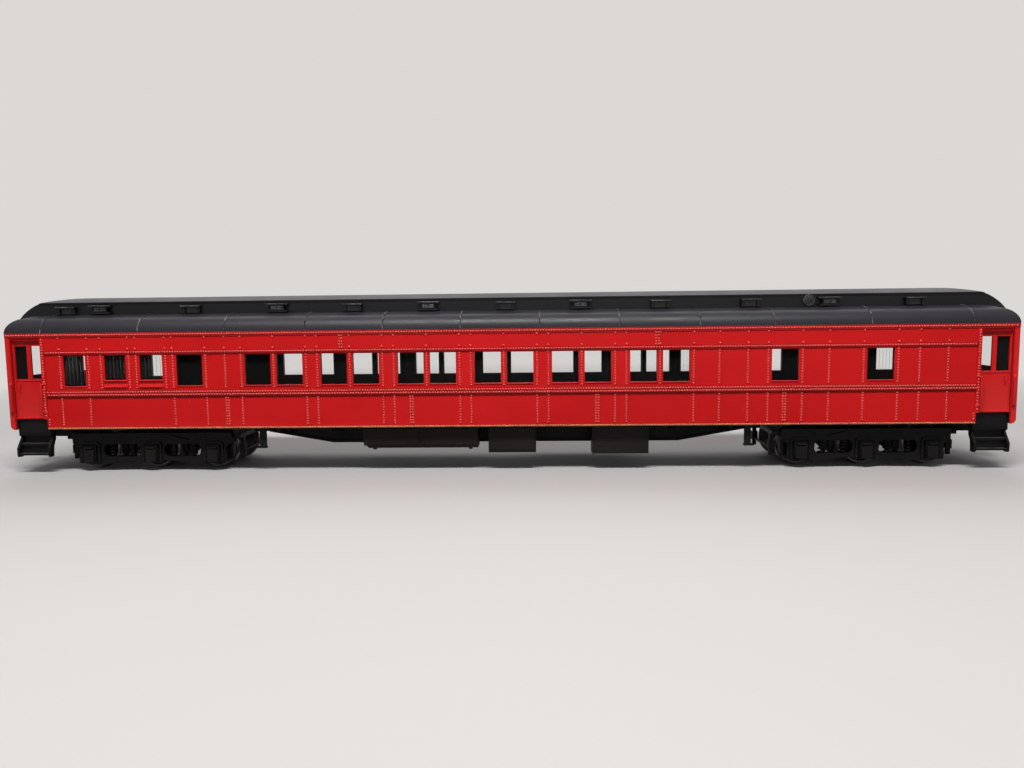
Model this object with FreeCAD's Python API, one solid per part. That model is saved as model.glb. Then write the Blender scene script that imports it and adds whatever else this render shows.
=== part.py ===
import FreeCAD, Part
import os

# A 1:87 model of a heavyweight sleeping car with a clerestory roof and two six-wheel trucks.
# X runs along the car from its middle, Y across it and Z up from the bottoms of the wheel flanges.
# Millimetres throughout. End A is at -X, end B at +X; the near side is -Y and the far side +Y.

# --- driving dimensions ---------------------------------------------------------------------
BODY_HALF_LENGTH = 141.75
BODY_HALF_WIDTH = 17.4
WALL = 1.4
SKIRT_Z = 13.0
BELT_Z = 22.5
BELT_TOP_Z = 24.2
WINDOW_Z = 25.45
WINDOW_TOP_Z = 34.2
LETTERBOARD_Z = 34.5
EAVE_BAND_Z = 39.5
EAVE_Z = 40.7
DECK_Z = 45.8
CLERESTORY_EAVE_Z = 49.3
CROWN_Z = 50.8
CLERESTORY_HALF_WIDTH = 9.9
ROOF_SKIN = 1.3
EAVE_OVERHANG = 0.3
ROOF_HALF_LENGTH = 142.5

DOOR_INNER_X = 131.7
DOOR_OUTER_X = 140.3
DOOR_Z = 16.1
DOOR_TOP_Z = 38.7
DOOR_RECESS = 0.8
DOOR_THICKNESS = 0.6
DOOR_PANES = ((133.6, 3.0), (138.05, 3.5))
DOOR_PANE_Z = (27.6, 37.1)
POST_X = 130.6
SKIRT_END_X = 130.8
CORNER_RADIUS = 1.3

END_WALL = 1.2
END_DOOR_HALF_WIDTH = 8.4
END_DOOR_Z = (14.6, 37.8)
END_LIGHT_Y = (0.35, 7.9)
END_LIGHT_Z = (28.1, 37.2)
DIAPHRAGM_DEPTH = 1.2
DIAPHRAGM_WIDTH = 1.2

FLOOR_TOP_Z = 14.6
BELT_PROUD = 0.4
LETTERBOARD_PROUD = 0.22
POST_PROUD = 0.3
SECTION_PITCH = 21.76
SECTION_START_X = -64.6
SECTION_COUNT = 6
PAIR_OFFSET = 4.55
WINDOW_WIDTH = 7.4
WASHROOM_WINDOW_Z = 27.2

STEP_INNER_X = 130.8
STEP_OUTER_X = 140.5
STEP_PLATE = 0.6
STEP_BOTTOM_Z = 5.0
STEP_FACE_Y = 16.2
TREAD = 0.5
HANDHOLDS_X = (131.0, 141.0)
HANDHOLD_LOW_Z = 17.7
HANDHOLD_HIGH_Z = 25.9
HANDHOLD_REACH = 0.6
HANDHOLD_RADIUS = 0.25

TRUCK_X = 103.0
AXLE_PITCH = 18.35
TREAD_RADIUS = 5.25
FLANGE_RADIUS = 5.95
BACK_TO_BACK = 14.4
WHEEL_WIDTH = 2.8
AXLE_RADIUS = 1.0
JOURNAL_RADIUS = 0.7
RUNNING_CLEARANCE = 0.06
SIDE_FRAME_IN = 11.2
SIDE_FRAME_OUT = 13.2

COUPLER_Z = 10.6
COUPLER_PIVOT_X = 136.5

X_AXIS = FreeCAD.Vector(1, 0, 0)
Y_AXIS = FreeCAD.Vector(0, 1, 0)
Z_AXIS = FreeCAD.Vector(0, 0, 1)
ORIGIN = FreeCAD.Vector(0, 0, 0)


# --- shapes used by more than one sub-part ----------------------------------------------------
def block(x, y, z):
    """A box given as three (low, high) spans."""
    size = [high - low for low, high in (x, y, z)]
    return Part.makeBox(*size, FreeCAD.Vector(x[0], y[0], z[0]))


def rod(radius, start, end):
    """A round bar from one point to another."""
    axis = FreeCAD.Vector(*end) - FreeCAD.Vector(*start)
    return Part.makeCylinder(radius, axis.Length, FreeCAD.Vector(*start), axis)


def slab_xz(points, y_low, y_high):
    """A flat plate that stands on edge along the car, with its outline in X and Z."""
    corners = [FreeCAD.Vector(x, y_low, z) for x, z in points]
    face = Part.Face(Part.makePolygon(corners + corners[:1]))
    return face.extrude(FreeCAD.Vector(0, y_high - y_low, 0))


def outline(points):
    """A closed wire from 3-D points; a triple of points in the list is an arc through the middle one."""
    edges = []
    last = None
    for item in points:
        if isinstance(item, tuple):
            middle, end = item
            edges.append(Part.Arc(last, middle, end).toShape())
            last = end
        else:
            if last is not None:
                edges.append(Part.makeLine(last, item))
            last = item
    first = points[0]
    if (last - first).Length > 1e-6:
        edges.append(Part.makeLine(last, first))
    return Part.Wire(edges)


def fuse(shapes):
    whole = shapes[0]
    if len(shapes) > 1:
        whole = whole.multiFuse(shapes[1:])
    return whole.removeSplitter()


def cut(shape, tools):
    return shape.cut(Part.Compound(tools))


def mirror_x(shape):
    return shape.mirror(ORIGIN, X_AXIS)


def mirror_y(shape):
    return shape.mirror(ORIGIN, Y_AXIS)


def four_corners(shape):
    """The shape at end B on the near side, repeated at all four corners of the car."""
    near = [shape, mirror_x(shape)]
    return near + [mirror_y(piece) for piece in near]


def both_ends(shape):
    return [shape, mirror_x(shape)]


def save(node, shapes):
    shape = shapes[0] if len(shapes) == 1 else Part.Compound(shapes)
    shape.exportStep("parts/" + node + ".step")


# --- body sides -------------------------------------------------------------------------------
# Each window is (centre, width, sill height). The open sections have their windows in pairs.
def section_windows():
    pairs = []
    for number in range(SECTION_COUNT):
        centre = SECTION_START_X + number * SECTION_PITCH
        for side in (-1, 1):
            pairs.append((centre + side * PAIR_OFFSET, WINDOW_WIDTH, WINDOW_Z))
    return pairs


NEAR_CLEAR = section_windows() + [(x, WINDOW_WIDTH, WINDOW_Z) for x in (-88.8, 78.7, 104.7)]
NEAR_FLUTED = [(-122.1, 6.4, WINDOW_Z), (-110.3, 6.1, WASHROOM_WINDOW_Z), (-99.9, 6.5, WASHROOM_WINDOW_Z)]
FAR_CLEAR = section_windows() + [(x, WINDOW_WIDTH, WINDOW_Z) for x in (-113.1, 75.3, 84.4)]
FAR_FLUTED = [(59.1, 6.1, WINDOW_Z), (99.9, 6.5, WASHROOM_WINDOW_Z), (110.3, 6.1, WASHROOM_WINDOW_Z),
              (121.0, 6.4, WINDOW_Z)]


def lower_corner():
    """A cutter that rounds the bottom corner of the body at end B, right across the car."""
    x = BODY_HALF_LENGTH - CORNER_RADIUS
    z = SKIRT_Z + CORNER_RADIUS
    corner = block((x, x + 2), (-20, 20), (z - 2, z))
    return corner.cut(rod(CORNER_RADIUS, (x, -20, z), (x, 20, z)))


def near_side(windows):
    """One side plate with its belt rail, eave band and window openings, for the -Y side."""
    outer = -BODY_HALF_WIDTH
    inner = outer + WALL
    ends = (-BODY_HALF_LENGTH, BODY_HALF_LENGTH)
    body_ends = (-DOOR_INNER_X, DOOR_INNER_X)
    side = fuse([
        block(ends, (outer, inner), (SKIRT_Z, EAVE_Z)),
        block(body_ends, (outer - BELT_PROUD, outer), (BELT_Z, BELT_TOP_Z)),
        block(body_ends, (outer - LETTERBOARD_PROUD, outer), (LETTERBOARD_Z, EAVE_BAND_Z)),
        block(ends, (outer - BELT_PROUD, outer), (EAVE_BAND_Z, EAVE_Z)),
    ] + both_ends(block((POST_X, DOOR_INNER_X), (outer - POST_PROUD, outer), (SKIRT_Z, EAVE_BAND_Z)))
      + both_ends(block((DOOR_OUTER_X, BODY_HALF_LENGTH), (outer - POST_PROUD, outer), (SKIRT_Z, EAVE_BAND_Z))))
    through = (outer - 1, inner + 1)
    openings = [block((x - width / 2, x + width / 2), through, (sill, WINDOW_TOP_Z))
                for x, width, sill in windows]
    openings += both_ends(block((DOOR_INNER_X, DOOR_OUTER_X), through, (SKIRT_Z - 1, DOOR_TOP_Z)))
    openings += both_ends(block((SKIRT_END_X, DOOR_OUTER_X), through, (SKIRT_Z - 1, DOOR_Z)))
    return cut(side, openings + both_ends(lower_corner()))


def save_sides():
    save("side_wall_near", [near_side(NEAR_CLEAR + NEAR_FLUTED)])
    save("side_wall_far", [mirror_y(near_side(FAR_CLEAR + FAR_FLUTED))])


def pane(x, width, low, high):
    """One pane behind its opening, a little larger than it all round."""
    inner = -BODY_HALF_WIDTH + WALL
    return block((x - width / 2 - 0.5, x + width / 2 + 0.5), (inner, inner + 0.7), (low - 0.6, high + 0.6))


def save_glazing():
    clear = [pane(x, width, sill, WINDOW_TOP_Z) for x, width, sill in NEAR_CLEAR]
    clear += [mirror_y(pane(x, width, sill, WINDOW_TOP_Z)) for x, width, sill in FAR_CLEAR]
    save("clear_window_panes", clear)
    fluted = [pane(x, width, sill, WINDOW_TOP_Z) for x, width, sill in NEAR_FLUTED]
    fluted += [mirror_y(pane(x, width, sill, WINDOW_TOP_Z)) for x, width, sill in FAR_FLUTED]
    save("fluted_window_panes", fluted)


def save_vestibule_doors():
    """Side doors at the four corners, set back in their frames, each with two tall panes."""
    outer = -BODY_HALF_WIDTH + DOOR_RECESS
    leaf = block((DOOR_INNER_X, DOOR_OUTER_X), (outer, outer + DOOR_THICKNESS), (DOOR_Z, DOOR_TOP_Z))
    panes = [block((x - width / 2, x + width / 2), (outer - 1, outer + 2), DOOR_PANE_Z)
             for x, width in DOOR_PANES]
    save("vestibule_side_doors", four_corners(cut(leaf, panes)))
    back = outer + DOOR_THICKNESS
    glass = block((DOOR_INNER_X + 0.2, DOOR_OUTER_X - 0.2), (back, back + 0.5),
                  (DOOR_PANE_Z[0] - 0.5, DOOR_PANE_Z[1] + 0.5))
    save("vestibule_door_panes", four_corners(glass))


# --- ends ---------------------------------------------------------------------------------------
def save_ends():
    """Plain end walls, a two-leaf glazed door in each, and the frame of the passage diaphragm round it."""
    inner_x = BODY_HALF_LENGTH - END_WALL
    half_width = BODY_HALF_WIDTH - WALL
    wall = block((inner_x, BODY_HALF_LENGTH), (-half_width, half_width), (SKIRT_Z, EAVE_Z))
    doorway = (-END_DOOR_HALF_WIDTH, END_DOOR_HALF_WIDTH)
    wall = cut(wall, [block((inner_x - 1, BODY_HALF_LENGTH + 1), doorway, END_DOOR_Z), lower_corner()])
    save("end_wall_a", [mirror_x(wall)])
    save("end_wall_b", [wall])
    door = block((inner_x, inner_x + DOOR_THICKNESS), doorway, END_DOOR_Z)
    light = block((inner_x - 1, inner_x + 2), END_LIGHT_Y, END_LIGHT_Z)
    save("end_doors", both_ends(cut(door, [light, mirror_y(light)])))
    pane_z = (END_LIGHT_Z[0] - 0.4, END_LIGHT_Z[1] + 0.4)
    save("end_door_panes", both_ends(block((inner_x - 0.5, inner_x), (-8.3, 8.3), pane_z)))
    rim = END_DOOR_HALF_WIDTH + DIAPHRAGM_WIDTH
    face_x = BODY_HALF_LENGTH + DIAPHRAGM_DEPTH
    ring = block((BODY_HALF_LENGTH, face_x), (-rim, rim), (SKIRT_Z + 0.6, END_DOOR_Z[1] + DIAPHRAGM_WIDTH))
    passage = block((BODY_HALF_LENGTH - 1, face_x + 1), doorway, END_DOOR_Z)
    save("end_diaphragms", both_ends(cut(ring, [passage])))


# --- roof -----------------------------------------------------------------------------------------
def across(points):
    """A section across the car, extruded over its whole length."""
    vectors = []
    for item in points:
        if isinstance(item[0], tuple):
            vectors.append(tuple(FreeCAD.Vector(-ROOF_HALF_LENGTH, y, z) for y, z in item))
        else:
            vectors.append(FreeCAD.Vector(-ROOF_HALF_LENGTH, *item))
    return Part.Face(outline(vectors)).extrude(FreeCAD.Vector(2 * ROOF_HALF_LENGTH, 0, 0))


def along(points, half_width):
    """A profile along the car, extruded across its width."""
    vectors = []
    for item in points:
        if isinstance(item[0], tuple):
            vectors.append(tuple(FreeCAD.Vector(x, -half_width, z) for x, z in item))
        else:
            vectors.append(FreeCAD.Vector(item[0], -half_width, item[1]))
    return Part.Face(outline(vectors)).extrude(FreeCAD.Vector(0, 2 * half_width, 0))


def deck_curve(edge, inset):
    """The lower deck's rise inwards from the eave at `edge`, as two arcs that run into each other."""
    step = 1 if edge > 0 else -1
    return [
        (edge - step * inset, EAVE_Z),
        ((edge - step * (1.1 + inset), 43.5 - inset), (edge - step * (3.9 + inset), 45.0 - inset)),
        ((edge - step * (5.6 + inset), 45.5 - inset), (edge - step * (7.5 + inset), DECK_Z - inset)),
    ]


def arched(edge, inset):
    """The whole outline of the lower deck from one eave over to the other."""
    right = deck_curve(edge, inset)
    left = deck_curve(-edge, inset)
    return right + [left[2][1], (left[2][0], left[1][1]), (left[1][0], left[0])]


def save_roof():
    end_profile = along(arched(BODY_HALF_LENGTH + EAVE_OVERHANG, 0), BODY_HALF_WIDTH)
    deck = across(arched(BODY_HALF_WIDTH, 0)).common(end_profile)

    half = CLERESTORY_HALF_WIDTH
    eave = half + 0.35
    clerestory_section = across([
        (half, DECK_Z - 1.5),
        (half, CLERESTORY_EAVE_Z - 0.2),
        (eave, CLERESTORY_EAVE_Z - 0.2),
        (eave, CLERESTORY_EAVE_Z + 0.1),
        ((0, CROWN_Z), (-eave, CLERESTORY_EAVE_Z + 0.1)),
        (-eave, CLERESTORY_EAVE_Z - 0.2),
        (-half, CLERESTORY_EAVE_Z - 0.2),
        (-half, DECK_Z - 1.5),
    ])
    clerestory_profile = along([
        (142.0, DECK_Z - 1.5), (142.0, 44.8), ((139.2, 47.4), (135.6, 49.25)), ((131.0, 50.35), (126.0, CROWN_Z)),
        (-126.0, CROWN_Z), ((-131.0, 50.35), (-135.6, 49.25)), ((-139.2, 47.4), (-142.0, 44.8)),
        (-142.0, DECK_Z - 1.5),
    ], BODY_HALF_WIDTH)
    roof = deck.fuse(clerestory_section.common(clerestory_profile))

    hollow_half = 127.0
    span = block((-hollow_half, hollow_half), (-BODY_HALF_WIDTH, BODY_HALF_WIDTH), (EAVE_Z - 1, CROWN_Z))
    attic = block((-hollow_half, hollow_half), (-half + ROOF_SKIN, half - ROOF_SKIN),
                  (EAVE_Z - 1, CLERESTORY_EAVE_Z - ROOF_SKIN + 0.6))
    roof = roof.cut(across(arched(BODY_HALF_WIDTH, ROOF_SKIN)).common(span)).cut(attic)
    save("roof", [roof])


# Ventilators stand on both walls of the clerestory. A wide one has a broad flat lid; a hooded one a short lid
# set on a deeper hood.
WIDE_VENTS_X = (-117.1, -65.0, -21.1, 22.5, 92.6)
HOODED_VENTS_X = (-127.3, -90.3, -43.1, 1.1, 45.2, 70.6, 116.4)
FAN_X = 87.0
FAN_Z = 47.6
VENT_Z = 46.0
VENT_LID_Z = 48.0


def save_ventilators():
    wall = -CLERESTORY_HALF_WIDTH
    vents = []
    for x in WIDE_VENTS_X:
        vents.append(fuse([
            block((x - 2.0, x + 2.0), (wall - 1.3, wall), (VENT_Z, VENT_LID_Z)),
            block((x - 3.2, x + 3.2), (wall - 1.9, wall), (VENT_LID_Z, VENT_LID_Z + 0.4)),
            block((x - 2.9, x + 2.9), (wall - 1.6, wall), (VENT_Z, VENT_Z + 0.5)),
        ]))
    for x in HOODED_VENTS_X:
        lid_z = VENT_LID_Z - 0.3
        hood = [block((x + side * 2.15 - 0.5, x + side * 2.15 + 0.5), (wall - 1.5, wall), (VENT_Z, lid_z))
                for side in (-1, 1)]
        vents.append(fuse(hood + [
            block((x - 1.8, x + 1.8), (wall - 0.9, wall), (VENT_Z, lid_z)),
            block((x - 2.8, x + 2.8), (wall - 1.9, wall), (lid_z, lid_z + 0.4)),
        ]))
    save("roof_ventilators", vents + [mirror_y(mirror_x(vent)) for vent in vents])
    fan = fuse([
        block((FAN_X - 2.2, FAN_X + 2.2), (wall - 0.2, wall), (FAN_Z - 1.6, FAN_Z + 1.4)),
        rod(1.5, (FAN_X, wall, FAN_Z), (FAN_X, wall - 0.7, FAN_Z)),
        rod(0.5, (FAN_X, wall, FAN_Z), (FAN_X, wall - 1.0, FAN_Z)),
    ])
    save("exhaust_fans", [fan, mirror_y(mirror_x(fan))])


# --- underframe -----------------------------------------------------------------------------------
SILL_DEEP_X = 51.6
SILL_SHALLOW_X = 71.0
SILL_BOTTOM_Z = 6.6
SILL_END_Z = 10.0
KING_PIN_RADIUS = 1.2
BOLSTER_TOP_Z = 11.4


def save_underframe():
    inner_y = BODY_HALF_WIDTH - WALL
    inner_x = BODY_HALF_LENGTH - END_WALL
    floor = block((-inner_x, inner_x), (-inner_y, inner_y), (SKIRT_Z, FLOOR_TOP_Z))
    save("floor", [floor])
    side = [
        (-SILL_DEEP_X, SILL_BOTTOM_Z), (SILL_DEEP_X, SILL_BOTTOM_Z), (SILL_SHALLOW_X, SILL_END_Z),
        (SILL_SHALLOW_X + 5, SILL_END_Z), (SILL_SHALLOW_X + 5, SKIRT_Z), (-SILL_SHALLOW_X - 5, SKIRT_Z),
        (-SILL_SHALLOW_X - 5, SILL_END_Z), (-SILL_SHALLOW_X, SILL_END_Z),
    ]
    flange = [(-SILL_DEEP_X, SILL_BOTTOM_Z), (SILL_DEEP_X, SILL_BOTTOM_Z), (SILL_SHALLOW_X, SILL_END_Z),
              (SILL_SHALLOW_X, SILL_END_Z + 0.5), (SILL_DEEP_X, SILL_BOTTOM_Z + 0.5),
              (-SILL_DEEP_X, SILL_BOTTOM_Z + 0.5), (-SILL_SHALLOW_X, SILL_END_Z + 0.5),
              (-SILL_SHALLOW_X, SILL_END_Z)]
    save("centre_sill", [fuse([slab_xz(side, -3.6, 3.6), slab_xz(flange, -4.6, 4.6)])])
    save("ballast_weight", [block((-100, 100), (-12.5, 12.5), (FLOOR_TOP_Z, FLOOR_TOP_Z + 1.6))])
    # A round pin under each end of the floor carries the truck; its screw head keeps the truck on.
    boss = Part.makeCylinder(4.0, SKIRT_Z - BOLSTER_TOP_Z, FreeCAD.Vector(TRUCK_X, 0, BOLSTER_TOP_Z))
    save("truck_bolsters", both_ends(boss))
    pin = fuse([
        rod(KING_PIN_RADIUS, (TRUCK_X, 0, BOLSTER_TOP_Z), (TRUCK_X, 0, 8.3)),
        rod(2.2, (TRUCK_X, 0, 8.5), (TRUCK_X, 0, 7.7)),
    ])
    save("truck_screws", both_ends(pin))


def save_equipment():
    """Boxes and tanks hung under the floor, outboard of the centre sill."""
    outer = -15.0
    inner = -9.0
    locker = [(-40.3, SKIRT_Z), (-40.3, 8.3), (-38.6, 6.7), (-7.1, 6.7), (-7.1, SKIRT_Z)]
    feet = [block((x - 0.5, x + 0.5), (outer + 0.5, outer + 1.5), (6.2, 6.7)) for x in (-37.0, -9.3)]
    save("battery_locker", [fuse([slab_xz(locker, outer, inner)] + feet)])
    save("regulator_box", [block((-4.1, 9.5), (outer, inner), (5.2, SKIRT_Z))])
    save("ice_bunker", [block((25.5, 41.5), (outer, inner), (4.7, SKIRT_Z))])
    save("far_battery_locker", [block((7.0, 40.0), (9.0, 15.0), (6.7, SKIRT_Z))])
    tanks = [rod(2.4, (x, 12.2, 9.6), (x + 17.0, 12.2, 9.6)) for x in (-46.0, -24.0)]
    straps = [block((x - 0.4, x + 0.4), (9.6, 14.8), (9.6, SKIRT_Z)) for x in (-43.0, -32.0, -21.0, -10.0)]
    save("air_reservoirs", [fuse([tanks[0]] + straps[:2]), fuse([tanks[1]] + straps[2:])])
    cylinder = fuse([
        rod(1.9, (54.0, 11.0, 10.6), (61.0, 11.0, 10.6)),
        rod(0.5, (61.0, 11.0, 10.6), (65.0, 11.0, 10.6)),
        block((56.0, 59.0), (10.0, 12.0), (10.6, SKIRT_Z)),
    ])
    save("brake_cylinder", [cylinder])
    bearers = []
    for x in (49.0, 64.0):
        rib = [(3.6, SKIRT_Z), (3.6, 9.8), (9.0, 11.4), (15.6, 11.8), (15.6, SKIRT_Z)]
        corners = [FreeCAD.Vector(x, -y, z) for y, z in rib]
        bearers.append(Part.Face(Part.makePolygon(corners + corners[:1])).extrude(FreeCAD.Vector(1.0, 0, 0)))
    save("cross_bearers", four_corners(bearers[0]) + four_corners(bearers[1]))
    hanger = fuse([
        block((68.3, 70.1), (-15.5, -14.7), (7.2, SKIRT_Z)),
        block((68.3, 71.0), (-15.5, -14.0), (6.9, 7.4)),
    ])
    save("underfloor_hangers", four_corners(hanger))


def save_steps():
    """Steps under each vestibule door: two flared side plates, two treads and the riser up to the door."""
    def plate(x_low, x_high):
        profile = [(-STEP_FACE_Y, SKIRT_Z), (-STEP_FACE_Y, 11.2), (-15.4, 10.6), (-16.7, 8.9), (-17.6, 7.6),
                   (-17.6, 5.4), (-17.2, STEP_BOTTOM_Z), (-15.7, STEP_BOTTOM_Z), (-15.4, 8.0), (-14.4, 9.8),
                   (-14.2, SKIRT_Z)]
        corners = [FreeCAD.Vector(x_low, y, z) for y, z in profile]
        return Part.Face(Part.makePolygon(corners + corners[:1])).extrude(FreeCAD.Vector(x_high - x_low, 0, 0))

    inner, outer = STEP_INNER_X, STEP_OUTER_X
    across_steps = (inner + 0.3, outer - 0.3)
    pieces = [
        plate(inner, inner + STEP_PLATE),
        plate(outer - STEP_PLATE, outer),
        block(across_steps, (-16.6, -14.8), (8.3, 8.3 + TREAD)),
        block(across_steps, (-15.0, -14.6), (8.3, 11.6)),
        block(across_steps, (-17.5, -15.8), (5.5, 5.5 + TREAD)),
        block(across_steps, (-16.0, -15.6), (5.5, 8.6)),
        block((inner, outer), (-STEP_FACE_Y, -14.4), (11.2, SKIRT_Z)),
        block((SKIRT_END_X + 0.05, DOOR_OUTER_X - 0.05), (-STEP_FACE_Y - 0.2, -BODY_HALF_WIDTH + WALL),
              (SKIRT_Z - 1.0, DOOR_Z - 0.05)),
    ]
    save("vestibule_steps", four_corners(fuse(pieces)))


def save_grab_irons():
    """A bent wire handhold on each side of every vestibule door, standing off its post."""
    face = -BODY_HALF_WIDTH - POST_PROUD
    grip = face - HANDHOLD_REACH
    pieces = []
    for x in HANDHOLDS_X:
        stand_offs = [rod(HANDHOLD_RADIUS, (x, face, z), (x, grip - 0.1, z))
                      for z in (HANDHOLD_LOW_Z + 0.2, HANDHOLD_HIGH_Z - 0.2)]
        bar = rod(HANDHOLD_RADIUS, (x, grip, HANDHOLD_LOW_Z), (x, grip, HANDHOLD_HIGH_Z))
        pieces += four_corners(fuse([bar] + stand_offs))
    save("grab_irons", pieces)


# --- trucks ---------------------------------------------------------------------------------------
AXLE_Z = FLANGE_RADIUS
FRAME_TOP_Z = 11.2
END_SILL_Z = (9.3, 10.4)
FRAME_BAND_Z = 8.2
FRAME_HALF_LENGTH = 23.7
PEDESTAL_HALF = 3.6
PEDESTAL_Z = 2.4
EQUALIZER_Z = 4.2
END_SILL_X = 25.2


def rounded_opening(x, y, z, radius):
    """A cutter for an opening through a side frame, with its four corners rounded."""
    cutter = block(x, y, z)
    corners = [edge for edge in cutter.Edges if abs(edge.tangentAt(edge.FirstParameter).y) > 0.9]
    return cutter.makeFillet(radius, corners)


def side_frame():
    """One cast side frame about the truck's middle: a top band, a pedestal over every axle, equalizer bars
    bowed between the pedestals, and the raised flanges and arch on its face."""
    outline_xz = [(-FRAME_HALF_LENGTH, FRAME_BAND_Z), (-FRAME_HALF_LENGTH, FRAME_TOP_Z - 0.6),
                  (-FRAME_HALF_LENGTH + 0.8, FRAME_TOP_Z), (FRAME_HALF_LENGTH - 0.8, FRAME_TOP_Z),
                  (FRAME_HALF_LENGTH, FRAME_TOP_Z - 0.6), (FRAME_HALF_LENGTH, FRAME_BAND_Z),
                  (AXLE_PITCH + PEDESTAL_HALF, FRAME_BAND_Z - 1.2), (AXLE_PITCH + PEDESTAL_HALF, PEDESTAL_Z)]
    bottom = [(AXLE_PITCH - PEDESTAL_HALF, PEDESTAL_Z - 0.5), (PEDESTAL_HALF, EQUALIZER_Z - 1.1),
              (PEDESTAL_HALF - 0.6, PEDESTAL_Z)]
    outline_xz += bottom + [(-x, z) for x, z in reversed(bottom)]
    outline_xz += [(-AXLE_PITCH - PEDESTAL_HALF, PEDESTAL_Z), (-AXLE_PITCH - PEDESTAL_HALF, FRAME_BAND_Z - 1.2)]
    face = -SIDE_FRAME_OUT
    plate = slab_xz(outline_xz, face, -SIDE_FRAME_IN)
    openings = []
    for side in (-1, 1):
        span = sorted((side * PEDESTAL_HALF, side * (AXLE_PITCH - PEDESTAL_HALF - 0.4)))
        openings.append(rounded_opening(span, (face - 1, -SIDE_FRAME_IN + 1), (EQUALIZER_Z, 7.9), 1.5))
    raised = [block((-FRAME_HALF_LENGTH, FRAME_HALF_LENGTH), (face - 0.4, face),
                    (FRAME_TOP_Z - 0.6, FRAME_TOP_Z))]
    for axle in (-1, 0, 1):
        middle = axle * AXLE_PITCH
        raised.append(slab_xz([
            (middle - 2.9, PEDESTAL_Z), (middle - 2.9, 7.9), (middle - 2.1, 8.7), (middle + 2.1, 8.7),
            (middle + 2.9, 7.9), (middle + 2.9, PEDESTAL_Z), (middle + 2.3, PEDESTAL_Z), (middle + 2.3, 7.8),
            (middle + 1.8, 8.2), (middle - 1.8, 8.2), (middle - 2.3, 7.8), (middle - 2.3, PEDESTAL_Z),
        ], face - 0.4, face))
    arch = [(-10.6, 9.4), (-8.0, 9.9), (-5.4, 10.7), (5.4, 10.7), (8.0, 9.9), (10.6, 9.4),
            (10.6, 8.9), (7.8, 9.3), (5.1, 10.1), (-5.1, 10.1), (-7.8, 9.3), (-10.6, 8.9)]
    raised.append(slab_xz(arch, face - 0.6, face))
    return fuse([cut(plate, openings)] + raised)


def brake_hanger(x, toe):
    """A brake shoe on its hanger beside one wheel; `toe` is 1 or -1, the side on which the wheel is."""
    lever = [(x - 0.5, 2.9), (x + 0.5, 2.9), (x + 0.5, 10.2), (x - 0.5, 10.2)]
    low_x, high_x = sorted((x - 0.8 * toe, x + 0.9 * toe))
    shoe = block((low_x, high_x), (-9.4, -7.8), (4.6, 7.2))
    return fuse([slab_xz(lever, -9.2, -8.0), shoe])


def truck_frame():
    """Both side frames with the transoms, bolster, end sills, brake hangers and the coupler's draught box."""
    near = side_frame()
    half = AXLE_PITCH / 2
    transoms = [block((side * half - 1.9, side * half + 1.9), (-SIDE_FRAME_IN, SIDE_FRAME_IN), (8.0, 10.3))
                for side in (-1, 1)]
    bolster = block((-half, half), (-6.4, 6.4), (8.8, BOLSTER_TOP_Z - 0.03))
    end_sills = []
    brakes = []
    for side in (-1, 1):
        end_sills.append(block((side * END_SILL_X - 0.7, side * END_SILL_X + 0.7), (-10.4, 10.4), END_SILL_Z))
        for edge in (-1, 1):
            low_y, high_y = sorted((edge * 10.4, edge * (SIDE_FRAME_IN + 0.5)))
            low_x, high_x = sorted((side * (FRAME_HALF_LENGTH - 1.0), side * (END_SILL_X + 0.7)))
            end_sills.append(block((low_x, high_x), (low_y - 0.2, high_y + 0.2), END_SILL_Z))
        brakes.append(brake_hanger(side * (END_SILL_X + 0.1), -side))
        brakes.append(brake_hanger(side * half - 1.1, -1))
        brakes.append(brake_hanger(side * half + 1.1, 1))
    brakes += [mirror_y(brake) for brake in brakes]
    beams = [rod(0.45, (x, -9.0, 5.0), (x, 9.0, 5.0)) for x in (-END_SILL_X, -half, half, END_SILL_X)]
    reach = COUPLER_PIVOT_X - TRUCK_X
    tongue = block((half, reach - 3), (-2.8, 2.8), (8.8, 10.0))
    pocket = cut(block((reach - 4.0, reach + 4.5), (-3.3, 3.3), (8.8, 12.4)),
                 [block((reach - 2.6, reach + 5), (-2.5, 2.5), (9.6, 11.6))])
    pin = rod(0.6, (reach, 0, 9.0), (reach, 0, 12.0))
    frame = fuse([near, mirror_y(near), bolster, tongue, pocket, pin] + transoms + end_sills + brakes + beams)
    bores = [rod(KING_PIN_RADIUS + RUNNING_CLEARANCE, (0, 0, 8), (0, 0, 12))]
    for axle in (-1, 0, 1):
        x = axle * AXLE_PITCH
        for side in (-1, 1):
            bores.append(rod(JOURNAL_RADIUS + RUNNING_CLEARANCE, (x, side * (SIDE_FRAME_IN - 1), AXLE_Z),
                             (x, side * (SIDE_FRAME_OUT - 0.5), AXLE_Z)))
    return cut(frame, bores)


def journal_boxes():
    """The box and its sloping lid at the end of each axle, at the origin."""
    boxes = []
    face = -SIDE_FRAME_OUT
    for axle in (-1, 0, 1):
        x = axle * AXLE_PITCH
        body = block((x - 1.9, x + 1.9), (face - 0.8, face), (2.9, 7.6))
        lid_yz = [(face - 0.8, 2.6), (face - 1.5, 3.0), (face - 1.2, 6.3), (face - 0.8, 6.6)]
        corners = [FreeCAD.Vector(x - 1.55, y, z) for y, z in lid_yz]
        lid = Part.Face(Part.makePolygon(corners + corners[:1])).extrude(FreeCAD.Vector(3.1, 0, 0))
        hinge = rod(0.35, (x - 1.2, face - 1.0, 6.9), (x + 1.2, face - 1.0, 6.9))
        box = fuse([body, lid, hinge])
        boxes += [box, mirror_y(box)]
    return boxes


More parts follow.
